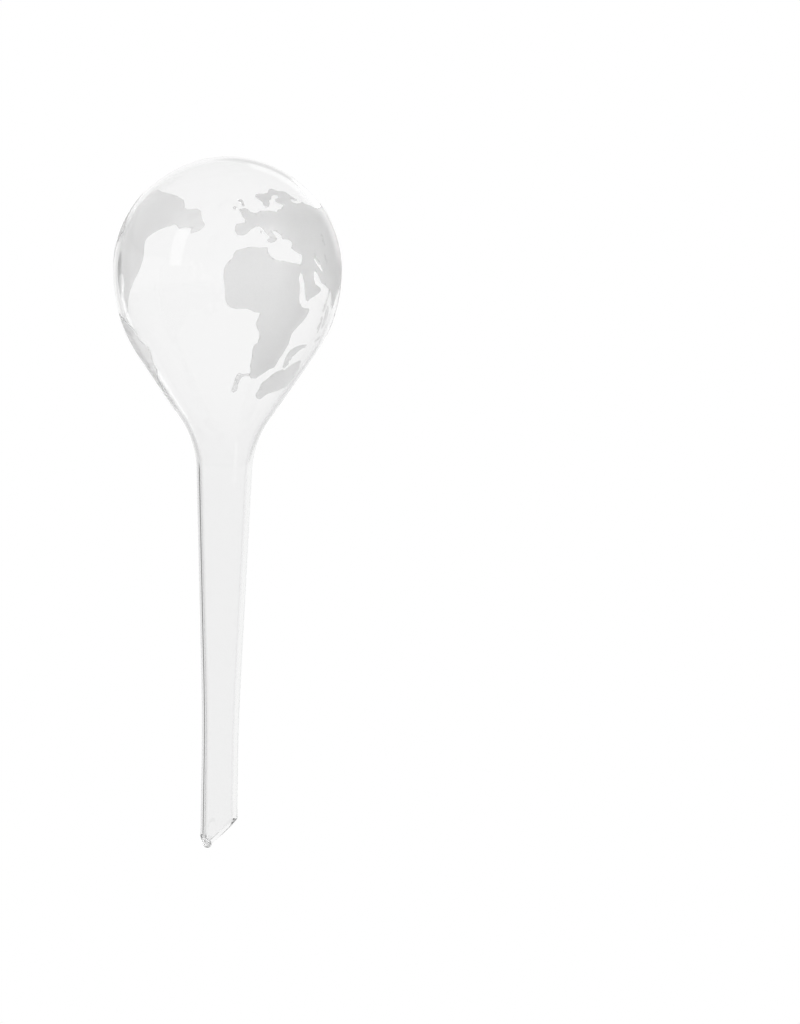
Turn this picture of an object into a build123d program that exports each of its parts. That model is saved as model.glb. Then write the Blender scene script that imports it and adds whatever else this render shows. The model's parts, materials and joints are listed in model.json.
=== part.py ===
from build123d import *
import os
from math import atan, cos, degrees, radians, sin, sqrt, tan

# Watering globe: a blown glass bulb sealed onto a tapered glass stem with a slanted mouth, and a world
# map in frosted enamel fired onto the bulb. Millimetres, +Z up. The axis of the glass is Z, and the
# origin is the middle of the neck, the line down to which the stem is pushed into the soil. The front
# of the map faces -Y, and the mouth faces +X, a little to the front.

# Glass bulb
BULB_DIAMETER = 67.2
BULB_WALL = 1.0
SHOULDER_RADIUS = 45.0  # arc below the widest line, where the ball turns into the cone
CONE_HALF_ANGLE = 34.5
NECK_DIAMETER = 16.5
NECK_FILLET_RADIUS = 29.0
NECK_OVERRUN = 2.0  # how far the outline runs on into the stem before it is cut off

# Glass stem
STEM_TAPER_LENGTH = 73.0  # neck to the place where the taper would meet the straight end
STEM_END_LENGTH = 34.5  # from there to the middle of the mouth
STEM_END_DIAMETER = 10.9
STEM_BLEND_RADIUS = 600.0  # eases the taper into the straight end
STEM_WALL = 1.3

# Slanted mouth, low at -X, with its melted rim and the drop of glass at its point
MOUTH_SLANT = 43.0
MOUTH_TURN = 10.0  # to the front
RIM_HEIGHT = 1.6
RIM_ROUNDING = 0.4
RIM_INSET = 0.2  # the flame draws the rim in from the stem's outside
POINT_START = 0.2  # the sharp point is melted away from this far above the middle of the mouth
POINT_STEEPNESS = 61.0
BEAD_DIAMETER = 2.66
BEAD_COVER = 0.74  # from the bead to the outside of the stem
BEAD_DROP = 2.6  # from the middle of the mouth

# Frosted map
ENAMEL_THICKNESS = 0.15
COAST_ROUNDING = 0.25
COAST_ROUNDING_SHARE = 0.4  # most of a coast's shorter side that one rounded corner may use
BLANK_TURN = -35  # open sea, where the round faces have their seam
URAL_TURN = 60  # meridian where the two halves of the largest land meet

bulb_radius = BULB_DIAMETER / 2
neck_radius = NECK_DIAMETER / 2
stem_end_radius = STEM_END_DIAMETER / 2
bore_end_radius = stem_end_radius - STEM_WALL
bead_radius = BEAD_DIAMETER / 2
cone = radians(CONE_HALF_ANGLE)
taper = atan((neck_radius - stem_end_radius) / STEM_TAPER_LENGTH)

# Where the curves of the bulb's outline meet, worked up from the neck
neck_fillet_top = NECK_FILLET_RADIUS * (sin(cone) - sin(taper))
neck_fillet_top_radius = neck_radius + NECK_FILLET_RADIUS * (cos(taper) - cos(cone))
cone_top_radius = bulb_radius - SHOULDER_RADIUS * (1 - cos(cone))
cone_top = neck_fillet_top + (cone_top_radius - neck_fillet_top_radius) / tan(cone)
bulb_middle = cone_top + SHOULDER_RADIUS * sin(cone)
bulb_height = bulb_middle + bulb_radius

# The mouth's plane, the plane above it where the rim starts, and the plane that takes the point off
mouth_middle = -STEM_TAPER_LENGTH - STEM_END_LENGTH
mouth_rise = stem_end_radius * tan(radians(MOUTH_SLANT))
mouth_way = Vector(cos(radians(MOUTH_TURN)), -sin(radians(MOUTH_TURN)), 0)
mouth_normal = mouth_way * sin(radians(MOUTH_SLANT)) - Vector(0, 0, cos(radians(MOUTH_SLANT)))
mouth_plane = Plane((0, 0, mouth_middle), z_dir=mouth_normal)
rim_plane = Plane((0, 0, mouth_middle + RIM_HEIGHT), z_dir=mouth_normal)
rim_wall = STEM_WALL - RIM_INSET
rim_reach = RIM_HEIGHT + 2 * mouth_rise
point_start = mouth_way * -stem_end_radius + Vector(0, 0, mouth_middle + POINT_START)
point_normal = mouth_way * -sin(radians(POINT_STEEPNESS)) - Vector(0, 0, cos(radians(POINT_STEEPNESS)))
point_plane = Plane(point_start, z_dir=point_normal)
bead_reach = stem_end_radius - BEAD_COVER - bead_radius
bead_middle = mouth_way * -bead_reach + Vector(0, 0, mouth_middle - BEAD_DROP)

# Coastlines as (turn, height) points. Turn is in degrees to the right of the map's front, height in
# percent of the way from the neck to the crown.
SUEZ_NORTH = (40.0, 65.5)
SUEZ_SOUTH = (40.5, 63.1)
AFRICA = [
    SUEZ_NORTH, (37.2, 65.9), (34.1, 66.1), (30.0, 66.7), (27.4, 66.6), (24.2, 67.3), (22.4, 68.1),
    (21.3, 69.3), (21.1, 70.9), (16.7, 70.7), (11.9, 70.9), (9.0, 70.4), (4.8, 69.7), (3.7, 68.7),
    (3.1, 67.4), (1.0, 66.1), (-0.3, 65.0), (-1.3, 63.4), (-1.4, 61.0), (-0.7, 57.3), (-0.4, 54.1),
    (0.5, 52.5), (2.5, 51.5), (5.4, 51.1), (10.7, 51.2), (13.2, 50.8), (15.2, 50.2), (18.5, 50.0),
    (17.8, 48.6), (16.7, 46.7), (17.7, 45.1), (19.2, 43.9), (19.9, 42.3), (19.6, 40.5), (17.5, 39.7),
    (17.1, 38.0), (17.8, 35.9), (17.8, 33.0), (19.0, 31.4), (18.6, 30.2), (20.9, 29.2), (24.8, 29.2),
    (27.9, 30.3), (31.0, 31.2), (33.9, 32.3), (37.1, 32.7), (37.8, 34.0), (38.1, 35.3), (39.3, 36.8),
    (40.1, 38.7), (41.0, 40.3), (40.6, 42.3), (40.8, 43.7), (42.8, 45.4), (46.1, 47.3), (48.3, 49.2),
    (49.3, 50.8), (49.1, 51.7), (45.0, 51.8), (43.3, 52.2), (41.2, 53.5), (40.4, 55.2), (40.3, 57.6),
    (39.8, 59.6), (39.1, 61.3), (39.8, 62.9), SUEZ_SOUTH,
]
EUROPE = [
    SUEZ_NORTH, (41.0, 66.5), (41.5, 68.3), (40.9, 68.9), (39.1, 69.1), (36.9, 69.9), (34.8, 70.8),
    (35.8, 71.8), (35.6, 72.8), (33.5, 73.4), (30.2, 73.5), (29.5, 74.2), (29.4, 74.9), (27.3, 75.8),
    (24.8, 76.4), (24.0, 76.0), (25.5, 74.9), (27.0, 73.5), (25.2, 72.6), (23.5, 72.2), (21.8, 72.5),
    (21.0, 73.2), (23.1, 73.8), (21.8, 74.9), (20.4, 75.7), (19.4, 76.7), (17.7, 77.4), (15.3, 77.3),
    (12.4, 76.2), (10.5, 75.1), (8.3, 74.4), (5.6, 74.5), (4.2, 75.7), (4.3, 77.0), (5.0, 78.1),
    (7.6, 78.3), (10.0, 78.7), (9.8, 79.6), (8.4, 80.6), (8.1, 81.6), (6.5, 82.4), (7.4, 82.9),
    (10.5, 83.1), (12.0, 82.8), (13.5, 82.0), (15.8, 81.6), (18.0, 81.9), (19.4, 82.4), (24.9, 82.5),
    (30.3, 82.2), (31.0, 82.9), (33.6, 83.1), (34.6, 83.7), (37.3, 84.4), (32.9, 85.0), (31.3, 85.5),
    (31.5, 86.3), (35.1, 86.7), (35.4, 87.3), (32.9, 87.6), (29.9, 87.3), (28.5, 86.1), (26.6, 85.7),
    (26.7, 84.8), (25.0, 83.6), (23.6, 83.5), (22.3, 84.2), (22.3, 85.2), (20.0, 86.1), (17.9, 86.7),
    (19.0, 87.6), (21.0, 88.1), (24.9, 88.0), (28.2, 88.3), (30.2, 89.3), (32.6, 89.6), (37.0, 88.9),
    (43.0, 88.8), (46.4, 87.4), (50.6, 86.1), (48.1, 85.9), (43.6, 86.5), (44.3, 85.4), (47.9, 85.0),
    (51.8, 85.2), (54.4, 85.7), (56.0, 85.0), (60.5, 84.6), (66.0, 83.6), (66.0, 57.5), (62.5, 58.4),
    (60.2, 59.1), (56.3, 59.9), (54.1, 61.5), (52.3, 62.8), (50.2, 63.9), (49.4, 62.9), (49.7, 61.0),
    (51.3, 59.4), (55.2, 58.4), (56.4, 57.6), (54.6, 56.5), (48.4, 54.8), (47.0, 53.9), (45.5, 54.4),
    (44.1, 56.7), (43.1, 59.6), (41.6, 62.2), SUEZ_SOUTH,
]
CASPIAN = [
    (51.2, 69.0), (49.9, 67.3), (51.3, 65.9), (55.8, 63.5), (57.3, 63.4), (55.1, 65.4), (52.3, 67.3),
]
ASIA = [
    (56.0, 85.0), (60.5, 84.6), (66.0, 83.6), (72.0, 83.9), (80.0, 84.4), (92.0, 85.5), (104.0, 84.8),
    (115.0, 84.2), (126.0, 83.9), (136.0, 82.8), (139.0, 81.2), (137.5, 78.0), (135.5, 76.0),
    (132.5, 76.8), (128.5, 76.2), (125.0, 74.4), (121.5, 72.6), (118.0, 72.0), (119.5, 69.3),
    (117.0, 69.1), (115.5, 71.5), (112.0, 72.0), (114.5, 70.2),
    (113.0, 68.2), (114.5, 66.0), (112.0, 62.8), (107.0, 60.1), (102.0, 59.5), (104.0, 56.3),
    (102.5, 53.0), (99.0, 51.7), (96.5, 54.1), (95.0, 56.5), (94.0, 53.0), (95.5, 49.3), (93.5, 48.9),
    (91.5, 52.5), (90.5, 56.3), (87.0, 57.4), (82.0, 59.5), (78.0, 57.4), (73.5, 51.7), (70.5, 53.6),
    (67.5, 56.8), (65.0, 57.9), (62.5, 58.4), (60.2, 59.1), (56.3, 59.9),
]
BRITAIN = [
    (6.1, 85.3), (6.8, 85.8), (8.5, 86.0), (9.9, 85.3), (9.8, 84.5), (10.4, 83.8), (8.8, 83.7),
    (8.5, 84.6), (8.0, 85.0),
]
IRELAND = [(3.0, 83.2), (3.8, 83.7), (4.9, 83.6), (5.2, 83.0), (4.3, 82.6)]
SARDINIA = [(17.6, 75.6), (18.2, 76.2), (18.9, 75.7), (18.4, 75.0)]
JAPAN = [
    (122.5, 66.5), (124.5, 66.2), (127.5, 68.0), (130.2, 70.2), (131.2, 72.8), (133.0, 74.5),
    (131.5, 75.2), (129.8, 73.6), (128.6, 71.0), (126.0, 69.2), (123.0, 68.2),
]
PHILIPPINES = [
    (109.5, 57.8), (111.5, 58.2), (112.0, 55.5), (114.2, 53.5), (115.0, 50.8), (112.5, 50.4),
    (111.8, 52.8), (110.2, 54.5),
]
BORNEO = [
    (103.5, 49.5), (106.0, 52.2), (108.5, 53.0), (109.6, 51.0), (108.8, 47.5), (107.0, 45.0),
    (104.5, 45.2), (103.0, 47.5),
]
SULAWESI = [
    (111.0, 48.8), (114.0, 49.4), (114.5, 48.4), (112.6, 47.6), (114.6, 45.5), (113.4, 44.6),
    (112.0, 46.2), (111.6, 43.6), (110.3, 43.8), (110.6, 46.6),
]
SUMATRA = [
    (88.0, 50.4), (89.5, 50.6), (93.0, 47.4), (97.0, 44.4), (97.0, 43.2), (95.0, 43.4), (91.0, 46.8),
]
JAVA = [(98.5, 42.6), (103.0, 42.4), (107.5, 41.6), (107.3, 40.4), (102.5, 41.0), (98.7, 41.5)]
NEW_GUINEA = [
    (131.0, 32.5), (133.2, 32.7), (134.2, 34.0), (135.2, 35.6), (135.4, 37.0), (134.0, 38.2),
    (130.7, 39.2), (127.0, 39.8), (122.5, 40.0), (118.0, 39.9), (117.6, 38.8), (121.6, 38.8),
    (124.7, 38.0), (127.0, 36.7), (129.0, 36.0), (128.6, 34.8), (128.8, 33.6),
]
AUSTRALIA = [
    (150.0, 24.2), (148.6, 23.4), (146.0, 22.9), (143.1, 22.6), (140.4, 22.9), (138.6, 23.7),
    (135.6, 24.3), (129.7, 24.7), (123.0, 24.9), (116.0, 25.6), (108.0, 26.0), (102.0, 27.2),
    (100.5, 29.5), (103.0, 32.0), (108.0, 33.2), (112.0, 34.6), (116.0, 34.7), (119.3, 34.2),
    (123.1, 33.9), (125.8, 33.0), (128.8, 32.0), (132.5, 32.1), (135.9, 31.7), (139.2, 31.1),
    (141.4, 30.3), (144.0, 29.1), (147.1, 28.3), (148.5, 27.4), (148.3, 25.8), (149.7, 24.7),
]
NEW_ZEALAND = [
    (161.6, 30.9), (163.5, 31.0), (166.7, 30.8), (170.0, 31.2), (171.8, 30.7), (173.1, 29.2),
    (173.8, 27.6), (174.9, 26.0), (174.8, 25.2), (172.8, 24.8), (170.6, 25.2), (169.8, 26.0),
    (169.6, 27.6), (168.6, 29.0), (167.0, 30.0), (163.8, 30.2), (161.5, 30.0),
]
NORTH_AMERICA = [
    (252.0, 90.4), (241.0, 89.6), (234.5, 89.3), (227.5, 88.9), (221.0, 88.4), (216.5, 87.7),
    (212.5, 87.0), (210.8, 86.0), (209.4, 84.9), (209.0, 84.3), (206.2, 83.8), (203.0, 84.0),
    (199.9, 84.1), (197.4, 83.3), (196.7, 81.9), (195.5, 80.5), (193.7, 78.9), (194.4, 78.0),
    (196.8, 76.8), (199.2, 76.3), (201.3, 75.8), (201.2, 77.0), (200.9, 77.6), (205.0, 77.9),
    (208.7, 77.4), (210.6, 78.4), (212.0, 79.0), (214.4, 78.4), (217.8, 77.9), (221.0, 77.3),
    (224.0, 76.4), (227.0, 75.6), (229.2, 74.7), (230.6, 74.0), (231.4, 72.5), (230.8, 71.1),
    (230.3, 69.4), (230.4, 67.7), (231.3, 66.0), (232.9, 63.9), (235.1, 62.0), (238.1, 60.5),
    (239.8, 59.0), (241.3, 58.0), (243.2, 57.0), (247.0, 54.4), (250.0, 52.0), (252.4, 49.9),
    (255.2, 48.4), (256.6, 47.4), (257.6, 48.6), (255.6, 50.2), (254.5, 52.8), (257.5, 54.5),
    (257.0, 56.5), (254.3, 55.6), (252.0, 57.0), (251.0, 59.6), (252.5, 61.6), (256.0, 62.3),
    (258.5, 61.6), (262.0, 62.0), (264.0, 58.3), (265.6, 58.6), (264.8, 62.0), (266.0, 65.0),
    (269.0, 67.5), (272.0, 69.5), (274.0, 72.0), (279.0, 72.5), (280.0, 74.0), (285.0, 75.0),
    (283.5, 77.0), (280.0, 78.5), (277.0, 81.0), (273.5, 83.5), (270.0, 85.8), (266.5, 87.8),
    (262.0, 89.2), (257.0, 90.1),
]
SOUTH_AMERICA = [
    (258.2, 47.0), (263.0, 49.6), (269.0, 49.8), (275.0, 49.0), (282.0, 47.6), (289.5, 46.4),
    (294.9, 44.7), (296.8, 42.9), (296.6, 41.2), (299.6, 40.0), (302.9, 38.9), (303.4, 37.7),
    (302.3, 36.5), (298.4, 33.3), (298.6, 31.2), (293.1, 29.9), (290.4, 29.0), (288.0, 26.5),
    (285.5, 24.0), (284.0, 21.5), (282.5, 19.2), (280.0, 18.4), (277.5, 19.4), (276.0, 22.0),
    (275.0, 26.0), (273.5, 30.0), (271.0, 34.0), (265.0, 37.5), (260.0, 41.0), (257.5, 44.0),
]

# The turns of the views that the lands are drawn in
FRONT_LANDS_TURN = 28
ASIA_TURN = 100
FAR_EAST_TURN = 125
NEW_ZEALAND_TURN = 168
NORTH_AMERICA_TURN = 238
SOUTH_AMERICA_TURN = 280
LANDS = {
    "map_africa": (FRONT_LANDS_TURN, AFRICA),
    "map_britain": (FRONT_LANDS_TURN, BRITAIN),
    "map_ireland": (FRONT_LANDS_TURN, IRELAND),
    "map_sardinia": (FRONT_LANDS_TURN, SARDINIA),
    "map_sumatra": (ASIA_TURN, SUMATRA),
    "map_java": (ASIA_TURN, JAVA),
    "map_borneo": (ASIA_TURN, BORNEO),
    "map_philippines": (ASIA_TURN, PHILIPPINES),
    "map_sulawesi": (ASIA_TURN, SULAWESI),
    "map_japan": (FAR_EAST_TURN, JAPAN),
    "map_australia": (FAR_EAST_TURN, AUSTRALIA),
    "map_new_guinea": (FAR_EAST_TURN, NEW_GUINEA),
    "map_new_zealand": (NEW_ZEALAND_TURN, NEW_ZEALAND),
    "map_north_america": (NORTH_AMERICA_TURN, NORTH_AMERICA),
    "map_south_america": (SOUTH_AMERICA_TURN, SOUTH_AMERICA),
}


def facing(turn):
    """Plane through the axis that looks out at a turn."""
    angle = radians(turn)
    return Plane((0, 0, 0), x_dir=(cos(angle), sin(angle), 0), z_dir=(sin(angle), -cos(angle), 0))


def meridian(turn):
    """Plane through the axis that cuts the bulb at a turn."""
    angle = radians(turn)
    return Plane((0, 0, 0), x_dir=(0, 0, 1), z_dir=(cos(angle), sin(angle), 0))


def bulb_radius_at(height):
    """Outer radius of the bulb at a height on its ball, shoulder or cone."""
    if height > bulb_middle:
        return sqrt(bulb_radius**2 - (height - bulb_middle) ** 2)
    if height > cone_top:
        return bulb_radius - SHOULDER_RADIUS + sqrt(SHOULDER_RADIUS**2 - (bulb_middle - height) ** 2)
    return cone_top_radius - (cone_top - height) * tan(cone)


def bulb_outline(inset):
    """Half outline of the bulb, run on past the neck and moved inwards by inset."""
    shoulder_centre = (bulb_radius - SHOULDER_RADIUS, bulb_middle)
    neck_centre = (neck_radius + NECK_FILLET_RADIUS * cos(taper), -NECK_FILLET_RADIUS * sin(taper))
    neck_start = 180 - degrees(taper)
    neck_turn = degrees(taper) - CONE_HALF_ANGLE
    with BuildSketch(seam_plane) as outline:
        with BuildLine():
            crown = CenterArc((0, bulb_middle), bulb_radius - inset, 90, -90)
            shoulder = CenterArc(shoulder_centre, SHOULDER_RADIUS - inset, 0, -CONE_HALF_ANGLE)
            neck = CenterArc(neck_centre, NECK_FILLET_RADIUS + inset, neck_start, neck_turn)
            Line(shoulder @ 1, neck @ 1)
            foot = (neck @ 0) - (neck % 0) * NECK_OVERRUN
            Polyline(neck @ 0, foot, (0, foot.Y), crown @ 0)
        make_face()
    return outline.sketch


def stem_outline():
    """Half section of the stem's tube, from the neck to a little past the mouth."""
    foot = mouth_middle - mouth_rise - STEM_WALL
    bore_neck_radius = neck_radius - STEM_WALL / cos(taper)
    bore_taper_end = (bore_end_radius - bore_neck_radius) / tan(taper)
    with BuildSketch(seam_plane) as outline:
        with BuildLine():
            outside = FilletPolyline(
                (neck_radius, 0),
                (stem_end_radius, -STEM_TAPER_LENGTH),
                (stem_end_radius, foot),
                radius=STEM_BLEND_RADIUS,
            )
            bore = FilletPolyline(
                (bore_neck_radius, 0),
                (bore_end_radius, bore_taper_end),
                (bore_end_radius, foot),
                radius=STEM_BLEND_RADIUS + STEM_WALL,
            )
            Line(outside @ 0, bore @ 0)
            Line(outside @ 1, bore @ 1)
        make_face()
    return outline.sketch


def flat_coast(coast, turn):
    """Coast points drawn flat on the plane that faces a turn."""
    points = []
    for point_turn, percent in coast:
        height = bulb_height * percent / 100
        points.append((bulb_radius_at(height) * sin(radians(point_turn - turn)), height))
    return points


def corner_radii(points):
    """Rounding of each corner of a closed coast, less where a side beside it is short."""
    radii = []
    for before, corner, after in zip(points[-1:] + points[:-1], points, points[1:] + points[:1]):
        to_before = Vector(*before) - Vector(*corner)
        to_after = Vector(*after) - Vector(*corner)
        half_angle = radians(to_before.get_angle(to_after)) / 2
        shorter_side = min(to_before.length, to_after.length)
        radii.append(min(COAST_ROUNDING, COAST_ROUNDING_SHARE * shorter_side * tan(half_angle)))
    return radii


def land(turn, coast, lake=None):
    """Enamel inside a coast, with an optional lake left clear, on the side of the bulb at a turn."""
    shore = flat_coast(coast, turn)
    with BuildPart() as patch:
        with BuildSketch(facing(turn)):
            with BuildLine():
                FilletPolyline(*shore, radius=corner_radii(shore), close=True)
            make_face()
            if lake:
                lake_shore = flat_coast(lake, turn)
                with BuildLine():
                    FilletPolyline(*lake_shore, radius=corner_radii(lake_shore), close=True)
                make_face(mode=Mode.SUBTRACT)
        extrude(amount=BULB_DIAMETER)
        add(enamel.part, mode=Mode.INTERSECT)
    return patch


def save(piece, name):
    """Write one finished piece under its node's name."""
    piece.part.label = name
    export_step(piece.part, f"parts/{name}.step")


os.makedirs("parts", exist_ok=True)
seam_plane = facing(BLANK_TURN - 90)
bulb_outside = bulb_outline(0)
bulb_inside = bulb_outline(BULB_WALL)
enamel_outside = bulb_outline(-ENAMEL_THICKNESS)
stem_section = stem_outline()

# Bulb: one blown shell down to the neck
with BuildPart() as glass_bulb:
    revolve(bulb_outside, axis=Axis.Z)
    revolve(bulb_inside, axis=Axis.Z, mode=Mode.SUBTRACT)
    split(bisect_by=Plane.XY, keep=Keep.TOP)
save(glass_bulb, "glass_bulb")

# Bead: the drop of glass at the point of the mouth
with BuildPart() as tip_bead:
    with Locations(bead_middle):
        Sphere(bead_radius)
save(tip_bead, "tip_bead")

# Stem: the drawn tube, cut on the slant
with BuildPart() as glass_stem:
    revolve(stem_section, axis=Axis.Z)
    split(bisect_by=rim_plane, keep=Keep.BOTTOM)
    split(bisect_by=point_plane, keep=Keep.BOTTOM)
    add(tip_bead.part, mode=Mode.SUBTRACT)
save(glass_stem, "glass_stem")

# Rim: the end of the tube, melted round and drawn in a little
with BuildPart() as mouth_rim:
    with BuildSketch(seam_plane):
        with Locations((bore_end_radius + rim_wall / 2, mouth_middle + RIM_HEIGHT / 2)):
            Rectangle(rim_wall, rim_reach)
    revolve(axis=Axis.Z)
    split(bisect_by=rim_plane, keep=Keep.TOP)
    split(bisect_by=mouth_plane, keep=Keep.BOTTOM)
    fillet(mouth_rim.faces().sort_by(Axis.Z)[0].edges(), radius=RIM_ROUNDING)
    split(bisect_by=point_plane, keep=Keep.BOTTOM)
    add(tip_bead.part, mode=Mode.SUBTRACT)
save(mouth_rim, "mouth_rim")

# Map: the enamel skin, and the lands cut from it
with BuildPart() as enamel:
    revolve(enamel_outside, axis=Axis.Z)
    revolve(bulb_outside, axis=Axis.Z, mode=Mode.SUBTRACT)

with BuildPart() as map_europe:
    add(land(FRONT_LANDS_TURN, EUROPE, lake=CASPIAN).part)
    split(bisect_by=meridian(URAL_TURN), keep=Keep.BOTTOM)
save(map_europe, "map_europe")

with BuildPart() as map_asia:
    add(land(ASIA_TURN, ASIA).part)
    split(bisect_by=meridian(URAL_TURN), keep=Keep.TOP)
save(map_asia, "map_asia")

for land_name, (land_turn, land_coast) in LANDS.items():
    save(land(land_turn, land_coast), land_name)
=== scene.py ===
import json
from math import atan, cos, pi, radians, sin, tan

import bpy
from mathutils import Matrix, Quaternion, Vector

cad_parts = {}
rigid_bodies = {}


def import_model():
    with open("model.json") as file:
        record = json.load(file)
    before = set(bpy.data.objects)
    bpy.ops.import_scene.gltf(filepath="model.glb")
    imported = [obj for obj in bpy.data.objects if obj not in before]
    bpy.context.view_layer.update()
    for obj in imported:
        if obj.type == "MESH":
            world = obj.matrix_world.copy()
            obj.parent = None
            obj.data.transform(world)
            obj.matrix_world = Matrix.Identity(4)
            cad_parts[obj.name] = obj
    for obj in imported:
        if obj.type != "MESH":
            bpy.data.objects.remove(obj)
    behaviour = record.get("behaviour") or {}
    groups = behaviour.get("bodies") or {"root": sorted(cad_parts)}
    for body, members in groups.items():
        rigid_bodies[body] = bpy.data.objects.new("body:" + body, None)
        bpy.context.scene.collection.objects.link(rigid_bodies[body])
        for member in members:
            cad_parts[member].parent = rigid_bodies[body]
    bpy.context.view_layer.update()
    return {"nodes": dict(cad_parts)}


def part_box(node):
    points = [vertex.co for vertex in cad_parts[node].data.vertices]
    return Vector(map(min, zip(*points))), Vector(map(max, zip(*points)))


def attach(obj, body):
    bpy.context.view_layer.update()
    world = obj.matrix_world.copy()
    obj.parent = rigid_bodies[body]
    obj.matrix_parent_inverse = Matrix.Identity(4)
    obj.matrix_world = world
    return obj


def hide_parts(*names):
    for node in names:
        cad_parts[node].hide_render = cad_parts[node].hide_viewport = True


# Watering globe: one body of clear blown glass, and a world map in frosted enamel on its bulb.
# Metres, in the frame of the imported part: the axis of the glass is Z and the neck is at the origin.

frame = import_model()

MM = 0.001

# Outline of the glass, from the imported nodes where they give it
BULB_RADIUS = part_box("glass_bulb")[1].x
BULB_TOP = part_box("glass_bulb")[1].z
NECK_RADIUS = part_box("glass_stem")[1].x
BEAD_LOW, BEAD_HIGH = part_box("tip_bead")
STEM_END_RADIUS = 5.45 * MM
STEM_TAPER_LENGTH = 73.0 * MM
STEM_BLEND_RADIUS = 600.0 * MM
SHOULDER_RADIUS = 45.0 * MM
CONE_HALF_ANGLE = radians(34.5)
NECK_FILLET_RADIUS = 29.0 * MM
BULB_WALL = 1.0 * MM
STEM_WALL = 1.3 * MM
MOUTH_SLANT = radians(43)
MOUTH_MIDDLE = -107.5 * MM
POINT_START = 0.2 * MM  # the sharp point is melted away from this far above the middle of the mouth
POINT_STEEPNESS = radians(61)
RIM_ROUNDING = 0.45 * MM
ENAMEL_CLEARANCE = 0.03 * MM  # keeps the glass just clear of the enamel's facets
BEAD_GAP = 0.02 * MM

# How finely the outline is drawn and turned
CROWN_STEPS = 48
SHOULDER_STEPS = 20
NECK_STEPS = 24
BLEND_STEPS = 8
LINE_STEPS = 6
TURN_STEPS = 192
RIM_SEGMENTS = 8
BEAD_SUBDIVISIONS = 4
SMOOTH_ANGLE = radians(14)
SHARP_ANGLE = radians(20)
MERGE_DISTANCE = 0.001 * MM

# Photograph: 800 x 1024 pixels, the neck's middle and the scale read from it
IMAGE_SIZE = Vector((800, 1024))
PIXEL = 0.2946 * MM
NECK_PIXEL = Vector((224.25, 470))
CAMERA_ROLL = radians(0.885)
CAMERA_DISTANCE = 6.0
SENSOR = 36.0  # millimetres, on the long side
CLIP_REACH = 4 * CAMERA_DISTANCE
GLASS_BOUNCES = 32  # light runs a long way inside the walls

# Clear glass
GLASS_INDEX = 1.47
WAVE_SCALE = 55.0
WAVE_STRENGTH = 0.12
WAVE_HEIGHT = 0.1 * MM
DRAWN_SCALE = (380.0, 380.0, 6.0)  # lines that run along the stem
DRAWN_SHARE = 0.12  # how high these lines stand, against the waves
# Painted shade: the glass's base colour darkens from the bulb down the stem, a little of it for the
# stem's thicker wall
STEM_PAINTED_SHADE = 0.945
STEM_SHADE_TOP = -10.0 * MM
BULB_TINT = 0.978
BULB_SHADE_LOW = 30.0 * MM
MELTED_SHARE = 0.35  # of the light, which goes straight through the melted tip
MELTED_LOW = -109.5 * MM
MELTED_TOP = -106.5 * MM
INSIDE_GREY = (0.5, 0.5, 0.5, 1)
INSIDE_DENSITY = 25.0

# Frosted enamel
ENAMEL_WHITE = (0.93, 0.93, 0.93, 1)
ENAMEL_COVER = 0.44
ENAMEL_ROUGHNESS = 0.3
ENAMEL_TRANSMISSION = 0.9
ENAMEL_GLOW = 0.15
GRAIN_SCALE = 2600.0
GRAIN_COVER = 0.05
GRAIN_ROUGHNESS = 0.1
GRAIN_STRENGTH = 0.3
GRAIN_HEIGHT = 0.03 * MM
CLOUD_SCALE = 70.0
CLOUD_COVER = 0.05

# Room and floor
ROOM_LIGHT = 0.96
LOW_BAND_DEPTH = 0.16
LOW_BAND_DARK = radians(-12)
LOW_BAND_END = radians(-4)
FLOOR_HEIGHT = -0.25
FLOOR_RADIUS = 2.4
FLOOR_EDGES = 96
FLOOR_GREY = (0.76, 0.76, 0.76, 1)
FADE_START = 0.5
FADE_END = 2.2


def flat(x, z):
    """Point of the outline, in the plane of the X and Z axes."""
    return Vector((x, 0, z))


def begin_outline(point):
    """Put down the first point of an outline in the mesh that is being edited."""
    bpy.ops.mesh.primitive_plane_add(size=MM)
    bpy.ops.mesh.merge(type="CENTER")
    bpy.ops.transform.translate(value=point)


def draw_line(start, end):
    """Run the outline straight on in equal steps."""
    for _ in range(LINE_STEPS):
        bpy.ops.mesh.extrude_region_move(TRANSFORM_OT_translate={"value": (end - start) / LINE_STEPS})


def draw_arc(centre, angle, steps):
    """Run the outline on round a centre, outwards from the axis for a positive angle."""
    bpy.ops.mesh.spin(steps=steps, angle=-angle, center=centre, axis=(0, 1, 0))


def crossing(a, a_run, b, b_run):
    """Where two lines of the outline cross, each a point and a run."""
    share = ((b - a).cross(b_run)).y / (a_run.cross(b_run)).y
    return a + a_run * share


def rounded(before, corner, after, radius):
    """Start, centre and end of the arc that rounds a corner."""
    back = (before - corner).normalized()
    on = (after - corner).normalized()
    half = back.angle(on) / 2
    start = corner + back * (radius / tan(half))
    end = corner + on * (radius / tan(half))
    centre = corner + (back + on).normalized() * (radius / sin(half))
    return start, centre, end


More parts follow.
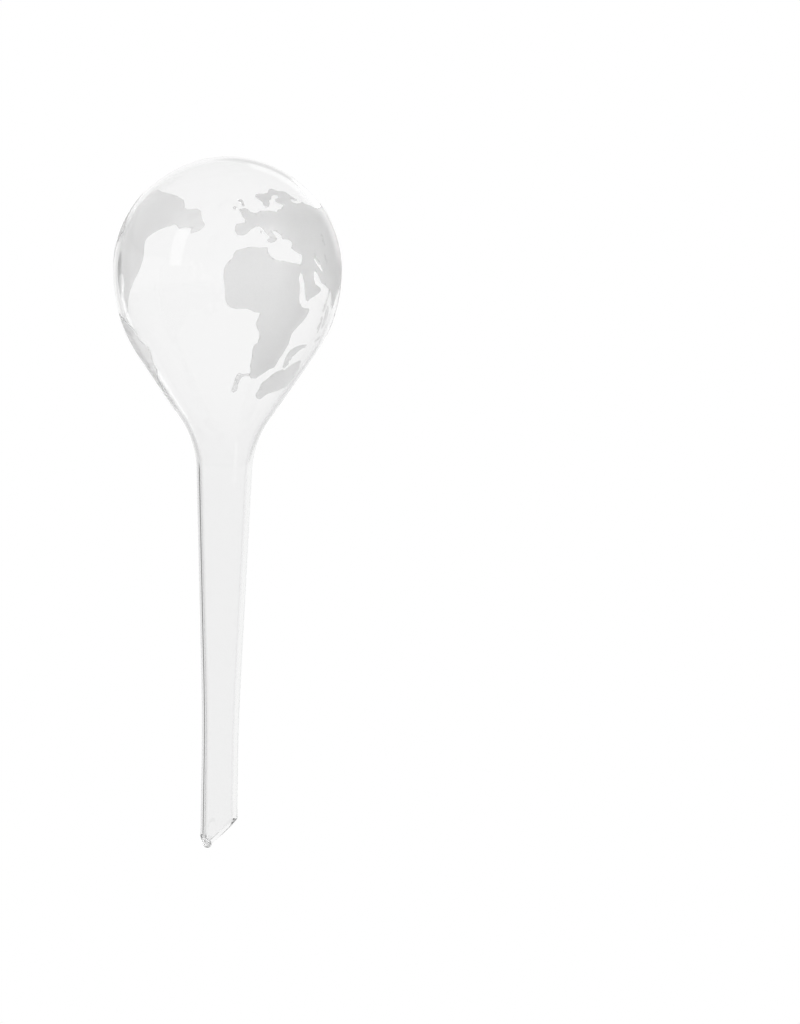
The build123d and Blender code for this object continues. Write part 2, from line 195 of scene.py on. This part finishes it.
def draw_wall(bulb_inset, stem_inset):
    """One wall of the glass from the crown to below the mouth, moved inwards from the outside."""
    taper = atan((NECK_RADIUS - STEM_END_RADIUS) / STEM_TAPER_LENGTH)
    bulb_middle = BULB_TOP - BULB_RADIUS
    crown = flat(0, BULB_TOP - bulb_inset)
    shoulder_centre = flat(BULB_RADIUS - SHOULDER_RADIUS, bulb_middle)
    shoulder_reach = SHOULDER_RADIUS - bulb_inset
    cone_run = flat(-sin(CONE_HALF_ANGLE), -cos(CONE_HALF_ANGLE))
    cone_top = shoulder_centre + flat(cos(CONE_HALF_ANGLE), -sin(CONE_HALF_ANGLE)) * shoulder_reach
    stem_run = flat(-sin(taper), -cos(taper))
    stem_point = flat(NECK_RADIUS - stem_inset / cos(taper), 0)
    stem_low = MOUTH_MIDDLE - STEM_END_RADIUS * tan(MOUTH_SLANT)
    end_point = flat(STEM_END_RADIUS - stem_inset, stem_low - STEM_WALL)
    neck_corner = crossing(cone_top, cone_run, stem_point, stem_run)
    blend_corner = crossing(stem_point, stem_run, end_point, flat(0, 1))
    neck_start, neck_centre, neck_end = rounded(
        cone_top, neck_corner, blend_corner, NECK_FILLET_RADIUS + stem_inset
    )
    blend_start, blend_centre, blend_end = rounded(
        neck_corner, blend_corner, end_point, STEM_BLEND_RADIUS + stem_inset
    )
    begin_outline(crown)
    draw_arc(flat(0, bulb_middle), pi / 2, CROWN_STEPS)
    draw_arc(shoulder_centre, CONE_HALF_ANGLE, SHOULDER_STEPS)
    draw_line(cone_top, neck_start)
    draw_arc(neck_centre, taper - CONE_HALF_ANGLE, NECK_STEPS)
    draw_line(neck_end, blend_start)
    draw_arc(blend_centre, -taper, BLEND_STEPS)
    draw_line(blend_end, end_point)


def turn_wall(bulb_inset, stem_inset, inside):
    """Draw one wall, turn it round the axis, and let it face outwards or into the hollow."""
    draw_wall(bulb_inset, stem_inset)
    bpy.ops.mesh.select_linked()
    bpy.ops.mesh.spin(steps=TURN_STEPS, angle=2 * pi, center=(0, 0, 0), axis=(0, 0, 1))
    bpy.ops.mesh.select_linked()
    bpy.ops.mesh.remove_doubles(threshold=MERGE_DISTANCE)
    bpy.ops.mesh.normals_make_consistent(inside=inside)


def blow_glass():
    """Bulb, stem and rim in one body: two walls drawn and turned, cut at the mouth and joined there."""
    down = Vector((0, 0, -1))
    mouth_middle = flat(0, MOUTH_MIDDLE)
    mouth_way = -(BEAD_LOW + BEAD_HIGH)
    mouth_way.z = 0
    mouth_way.normalize()
    mouth_normal = mouth_way * sin(MOUTH_SLANT) + down * cos(MOUTH_SLANT)
    point_start = mouth_middle - mouth_way * STEM_END_RADIUS - down * POINT_START
    point_normal = down * cos(POINT_STEEPNESS) - mouth_way * sin(POINT_STEEPNESS)
    bpy.ops.object.select_all(action="DESELECT")
    bpy.ops.mesh.primitive_plane_add(size=MM)
    glass = bpy.context.object
    glass.name = glass.data.name = "blown_glass"
    bpy.ops.object.mode_set(mode="EDIT")
    bpy.ops.mesh.delete(type="VERT")
    turn_wall(ENAMEL_CLEARANCE, ENAMEL_CLEARANCE, inside=False)
    turn_wall(BULB_WALL, STEM_WALL, inside=True)
    bpy.ops.mesh.select_all(action="SELECT")
    bpy.ops.mesh.bisect(
        plane_co=mouth_middle, plane_no=mouth_normal, clear_outer=True, threshold=MERGE_DISTANCE
    )
    bpy.ops.mesh.bridge_edge_loops()
    bpy.ops.mesh.select_all(action="SELECT")
    bpy.ops.mesh.bisect(
        plane_co=point_start,
        plane_no=point_normal,
        use_fill=True,
        clear_outer=True,
        threshold=MERGE_DISTANCE,
    )
    bpy.ops.mesh.select_all(action="DESELECT")
    bpy.ops.mesh.select_mode(type="EDGE")
    bpy.ops.mesh.edges_select_sharp(sharpness=SHARP_ANGLE)
    bpy.ops.mesh.bevel(offset=RIM_ROUNDING, segments=RIM_SEGMENTS, clamp_overlap=True)
    bpy.ops.mesh.select_all(action="SELECT")
    bpy.ops.mesh.remove_doubles(threshold=MERGE_DISTANCE)
    bpy.ops.object.mode_set(mode="OBJECT")
    return glass


def select_only(piece):
    """Make a piece the one that is selected and active."""
    bpy.ops.object.select_all(action="DESELECT")
    bpy.context.view_layer.objects.active = piece
    piece.select_set(True)


def add_ball(name, radius):
    """Ball of glass at the bead's place."""
    bpy.ops.object.select_all(action="DESELECT")
    bpy.ops.mesh.primitive_ico_sphere_add(
        subdivisions=BEAD_SUBDIVISIONS, radius=radius, location=(BEAD_LOW + BEAD_HIGH) / 2
    )
    ball = bpy.context.object
    ball.name = ball.data.name = name
    bpy.ops.object.transform_apply()
    return ball


def hang_bead(glass):
    """The drop of glass at the mouth's point, in a hollow that it leaves in the rim."""
    radius = (BEAD_HIGH.x - BEAD_LOW.x) / 2
    hollow = add_ball("hollow", radius + BEAD_GAP)
    select_only(glass)
    cut = glass.modifiers.new("hollow", "BOOLEAN")
    cut.operation = "DIFFERENCE"
    cut.object = hollow
    bpy.ops.object.modifier_apply(modifier=cut.name)
    bpy.data.objects.remove(hollow)
    return add_ball("glass_bead", radius)


def fire_enamel(node):
    """One land of the map, as a merged copy of its node."""
    name = node.replace("map_", "enamel_")
    land = bpy.data.objects.new(name, frame["nodes"][node].data.copy())
    land.data.name = name
    bpy.context.scene.collection.objects.link(land)
    select_only(land)
    bpy.ops.object.mode_set(mode="EDIT")
    bpy.ops.mesh.select_all(action="SELECT")
    bpy.ops.mesh.remove_doubles(threshold=MERGE_DISTANCE)
    bpy.ops.object.mode_set(mode="OBJECT")
    return land


class Socket:
    """A value in a shader, for use in plain sums."""

    def __init__(self, tree, socket):
        self.tree = tree
        self.socket = socket

    def math(self, operation, *values):
        return add_node(self.tree, "ShaderNodeMath", {"operation": operation}, *values)["Value"]

    def __add__(self, other):
        return self.math("ADD", self, other)

    def __rsub__(self, other):
        return self.math("SUBTRACT", other, self)

    def __mul__(self, other):
        return self.math("MULTIPLY", self, other)

    __radd__ = __add__
    __rmul__ = __mul__


def add_node(tree, kind, settings=None, *values, **named_values):
    """Add a node, set it up, feed its sockets by place or by name, and give its outputs."""
    node = tree.nodes.new(kind)
    for name, setting in (settings or {}).items():
        setattr(node, name, setting)
    fed = list(zip(node.inputs, values))
    fed += [(node.inputs[name.replace("_", " ")], value) for name, value in named_values.items()]
    for place, value in fed:
        if isinstance(value, Socket):
            tree.links.new(value.socket, place)
        else:
            place.default_value = value
    return {output.name: Socket(tree, output) for output in node.outputs if output.enabled}


def new_material(name):
    """An empty material and its tree."""
    material = bpy.data.materials.new(name)
    material.use_nodes = True
    material.node_tree.nodes.clear()
    return material, material.node_tree


def ramp(tree, value, start, start_level, end, end_level):
    """Smooth change from one level to another between two values."""
    return add_node(
        tree,
        "ShaderNodeMapRange",
        {"interpolation_type": "SMOOTHSTEP"},
        Value=value,
        From_Min=start,
        From_Max=end,
        To_Min=start_level,
        To_Max=end_level,
    )["Result"]


def clear_glass():
    """Clear blown glass with the faint waves of hand work, greyer down the stem with painted shade (a
    little from its thicker wall), softer at its melted tip.
    """
    material, tree = new_material("clear_blown_glass")
    place = add_node(tree, "ShaderNodeTexCoord")["Object"]
    waves = add_node(tree, "ShaderNodeTexNoise", None, Vector=place, Scale=WAVE_SCALE, Detail=1.0)["Fac"]
    drawn = add_node(tree, "ShaderNodeMapping", None, Vector=place, Scale=DRAWN_SCALE)["Vector"]
    lines = add_node(tree, "ShaderNodeTexNoise", None, Vector=drawn, Scale=1.0, Detail=2.0)["Fac"]
    bump = add_node(
        tree,
        "ShaderNodeBump",
        None,
        Strength=WAVE_STRENGTH,
        Distance=WAVE_HEIGHT,
        Height=waves + lines * DRAWN_SHARE,
    )["Normal"]
    height = add_node(tree, "ShaderNodeSeparateXYZ", None, Vector=place)["Z"]
    # Painted shade: base colour from the bulb's light tint down to a darker stem
    tint_and_shade = ramp(tree, height, STEM_SHADE_TOP, STEM_PAINTED_SHADE, BULB_SHADE_LOW, BULB_TINT)
    melted = ramp(tree, height, MELTED_LOW, MELTED_SHARE, MELTED_TOP, 0.0)
    body = add_node(
        tree,
        "ShaderNodeBsdfPrincipled",
        None,
        Base_Color=tint_and_shade,
        Roughness=0.0,
        IOR=GLASS_INDEX,
        Transmission_Weight=1.0,
        Normal=bump,
    )["BSDF"]
    inside = add_node(
        tree, "ShaderNodeVolumeAbsorption", None, Color=INSIDE_GREY, Density=INSIDE_DENSITY
    )["Volume"]
    clear = add_node(tree, "ShaderNodeBsdfTransparent")["BSDF"]
    surface = add_node(tree, "ShaderNodeMixShader", None, melted, body, clear)["Shader"]
    add_node(tree, "ShaderNodeOutputMaterial", None, Surface=surface, Volume=inside)
    return material


def frosted_enamel():
    """Thin matt frost fired onto the glass, with a fine grain."""
    material, tree = new_material("frosted_map_enamel")
    place = add_node(tree, "ShaderNodeTexCoord")["Object"]
    grain = add_node(tree, "ShaderNodeTexNoise", None, Vector=place, Scale=GRAIN_SCALE, Detail=3.0)["Fac"]
    cloud = add_node(tree, "ShaderNodeTexNoise", None, Vector=place, Scale=CLOUD_SCALE, Detail=2.0)["Fac"]
    cover = ENAMEL_COVER + grain * GRAIN_COVER + cloud * CLOUD_COVER
    bump = add_node(
        tree, "ShaderNodeBump", None, Strength=GRAIN_STRENGTH, Distance=GRAIN_HEIGHT, Height=grain
    )["Normal"]
    frost = add_node(
        tree,
        "ShaderNodeBsdfPrincipled",
        None,
        Base_Color=ENAMEL_WHITE,
        Roughness=ENAMEL_ROUGHNESS + grain * GRAIN_ROUGHNESS,
        Transmission_Weight=ENAMEL_TRANSMISSION,
        Normal=bump,
    )["BSDF"]
    glow = add_node(tree, "ShaderNodeBsdfTranslucent", None, Color=ENAMEL_WHITE)["BSDF"]
    body = add_node(tree, "ShaderNodeMixShader", None, ENAMEL_GLOW, frost, glow)["Shader"]
    clear = add_node(tree, "ShaderNodeBsdfTransparent")["BSDF"]
    surface = add_node(tree, "ShaderNodeMixShader", None, cover, clear, body)["Shader"]
    add_node(tree, "ShaderNodeOutputMaterial", None, Surface=surface)
    return material


def grey_card(tree, direction, towards, half_width, edge, depth):
    """How much a round grey card takes from a white room, by the direction that is looked in."""
    nearness = add_node(tree, "ShaderNodeVectorMath", {"operation": "DOT_PRODUCT"}, direction, towards)
    return ramp(tree, nearness["Value"], cos(half_width + edge), 0.0, cos(half_width), depth)


def build_world():
    """Soft even light, and for what is seen a white room with grey cards that draw the glass's edges."""
    world = bpy.data.worlds.new("studio")
    bpy.context.scene.world = world
    world.use_nodes = True
    tree = world.node_tree
    tree.nodes.clear()
    path = add_node(tree, "ShaderNodeLightPath")
    looked = path["Is Camera Ray"] + path["Is Glossy Ray"] + path["Is Transmission Ray"]
    seen = looked.math("MINIMUM", looked, 1.0)
    direction = add_node(tree, "ShaderNodeTexCoord")["Generated"]
    height = add_node(tree, "ShaderNodeSeparateXYZ", None, Vector=direction)["Z"]
    side_card = grey_card(
        tree, direction, towards=(-0.643, 0.766, 0.0), half_width=radians(12), edge=radians(15), depth=0.2
    )
    stem_card = grey_card(
        tree, direction, towards=(-0.602, 0.799, 0.0), half_width=radians(5), edge=radians(1.5), depth=0.8
    )
    top_card = grey_card(
        tree, direction, towards=(0.12, 0.9, 0.42), half_width=radians(6), edge=radians(6), depth=0.2
    )
    low_band = ramp(tree, height, sin(LOW_BAND_DARK), LOW_BAND_DEPTH, sin(LOW_BAND_END), 0.0)
    room = (1 - side_card) * (1 - stem_card) * (1 - top_card) * (1 - low_band)
    level = ROOM_LIGHT * (1 - seen) + room * seen
    light = add_node(tree, "ShaderNodeBackground", None, Color=(1, 1, 1, 1), Strength=level)["Background"]
    add_node(tree, "ShaderNodeOutputWorld", None, Surface=light)


def pale_floor():
    """Matt pale floor that fades out into the white room."""
    material, tree = new_material("pale_floor")
    place = add_node(tree, "ShaderNodeTexCoord")["Object"]
    reach = add_node(tree, "ShaderNodeVectorMath", {"operation": "LENGTH"}, place)["Value"]
    fade = ramp(tree, reach, FADE_START, 0.0, FADE_END, 1.0)
    matt = add_node(tree, "ShaderNodeBsdfDiffuse", None, Color=FLOOR_GREY)["BSDF"]
    gone = add_node(tree, "ShaderNodeBsdfTransparent")["BSDF"]
    surface = add_node(tree, "ShaderNodeMixShader", None, fade, matt, gone)["Shader"]
    add_node(tree, "ShaderNodeOutputMaterial", None, Surface=surface)
    return material


def lay_floor():
    """Round floor, lower than the photograph's frame."""
    bpy.ops.object.select_all(action="DESELECT")
    bpy.ops.mesh.primitive_circle_add(
        vertices=FLOOR_EDGES, radius=FLOOR_RADIUS, fill_type="NGON", location=(0, 0, FLOOR_HEIGHT)
    )
    floor = bpy.context.object
    floor.name = floor.data.name = "floor"
    floor.data.materials.append(pale_floor())


def hang_light(name, direction, distance, width, height, radiance, roll=0.0):
    """Rectangular soft light, turned to the neck. Its strength is the brightness of its face."""
    lamp = bpy.data.lights.new(name, "AREA")
    lamp.shape = "RECTANGLE"
    lamp.size = width
    lamp.size_y = height
    lamp.energy = radiance * pi * width * height
    light = bpy.data.objects.new(name, lamp)
    towards = Vector(direction).normalized()
    light.location = towards * distance
    turn = towards.to_track_quat("Z", "Y") @ Quaternion((0, 0, 1), roll)
    light.rotation_euler = turn.to_euler()
    light.visible_camera = False
    bpy.context.scene.collection.objects.link(light)


def set_camera():
    """Long lens, level, turned a little so that the globe leans as in the photograph."""
    across = (IMAGE_SIZE.x / 2 - NECK_PIXEL.x) * PIXEL
    down = (IMAGE_SIZE.y / 2 - NECK_PIXEL.y) * PIXEL
    right = flat(cos(CAMERA_ROLL), sin(CAMERA_ROLL))
    up = flat(-sin(CAMERA_ROLL), cos(CAMERA_ROLL))
    lens = bpy.data.cameras.new("camera")
    lens.sensor_width = SENSOR
    lens.lens = SENSOR * CAMERA_DISTANCE / (IMAGE_SIZE.y * PIXEL)
    lens.clip_end = CLIP_REACH
    camera = bpy.data.objects.new("camera", lens)
    camera.location = right * across - up * down - Vector((0, CAMERA_DISTANCE, 0))
    camera.rotation_euler = (pi / 2, -CAMERA_ROLL, 0)
    bpy.context.scene.collection.objects.link(camera)
    bpy.context.scene.camera = camera


def finish_piece(piece, material, slot, *nodes):
    """Shade a piece smooth but for its real edges, give it its material, hang it on the root body, and
    hide the nodes it takes the place of.
    """
    select_only(piece)
    bpy.ops.object.shade_smooth_by_angle(angle=SMOOTH_ANGLE)
    piece.data.materials.clear()
    piece.data.materials.append(material)
    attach(piece, "root")
    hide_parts(*nodes)


set_camera()
bpy.context.scene.view_settings.view_transform = "Standard"
bpy.context.scene.cycles.max_bounces = GLASS_BOUNCES
bpy.context.scene.cycles.transmission_bounces = GLASS_BOUNCES
bpy.context.scene.cycles.glossy_bounces = GLASS_BOUNCES

clear = clear_glass()
glass = blow_glass()
bead = hang_bead(glass)
finish_piece(glass, clear, "clear_glass", "glass_bulb", "glass_stem", "mouth_rim")
finish_piece(bead, clear, "clear_glass", "tip_bead")

enamel = frosted_enamel()
for node in sorted(frame["nodes"]):
    if node.startswith("map_"):
        finish_piece(fire_enamel(node), enamel, "frosted_enamel", node)

build_world()
lay_floor()
hang_light(
    "window", direction=(-0.7587, -0.5446, 0.3576), distance=3.0, width=0.72, height=1.8, radiance=0.65
)
hang_light(
    "corner_light", direction=(0.332, 0.911, 0.242), distance=1.2, width=0.3, height=0.34, radiance=1.2
)
hang_light(
    "top_strip",
    direction=(0.348, 0.755, 0.556),
    distance=1.2,
    width=0.64,
    height=0.3,
    radiance=0.25,
    roll=radians(39.6),
)
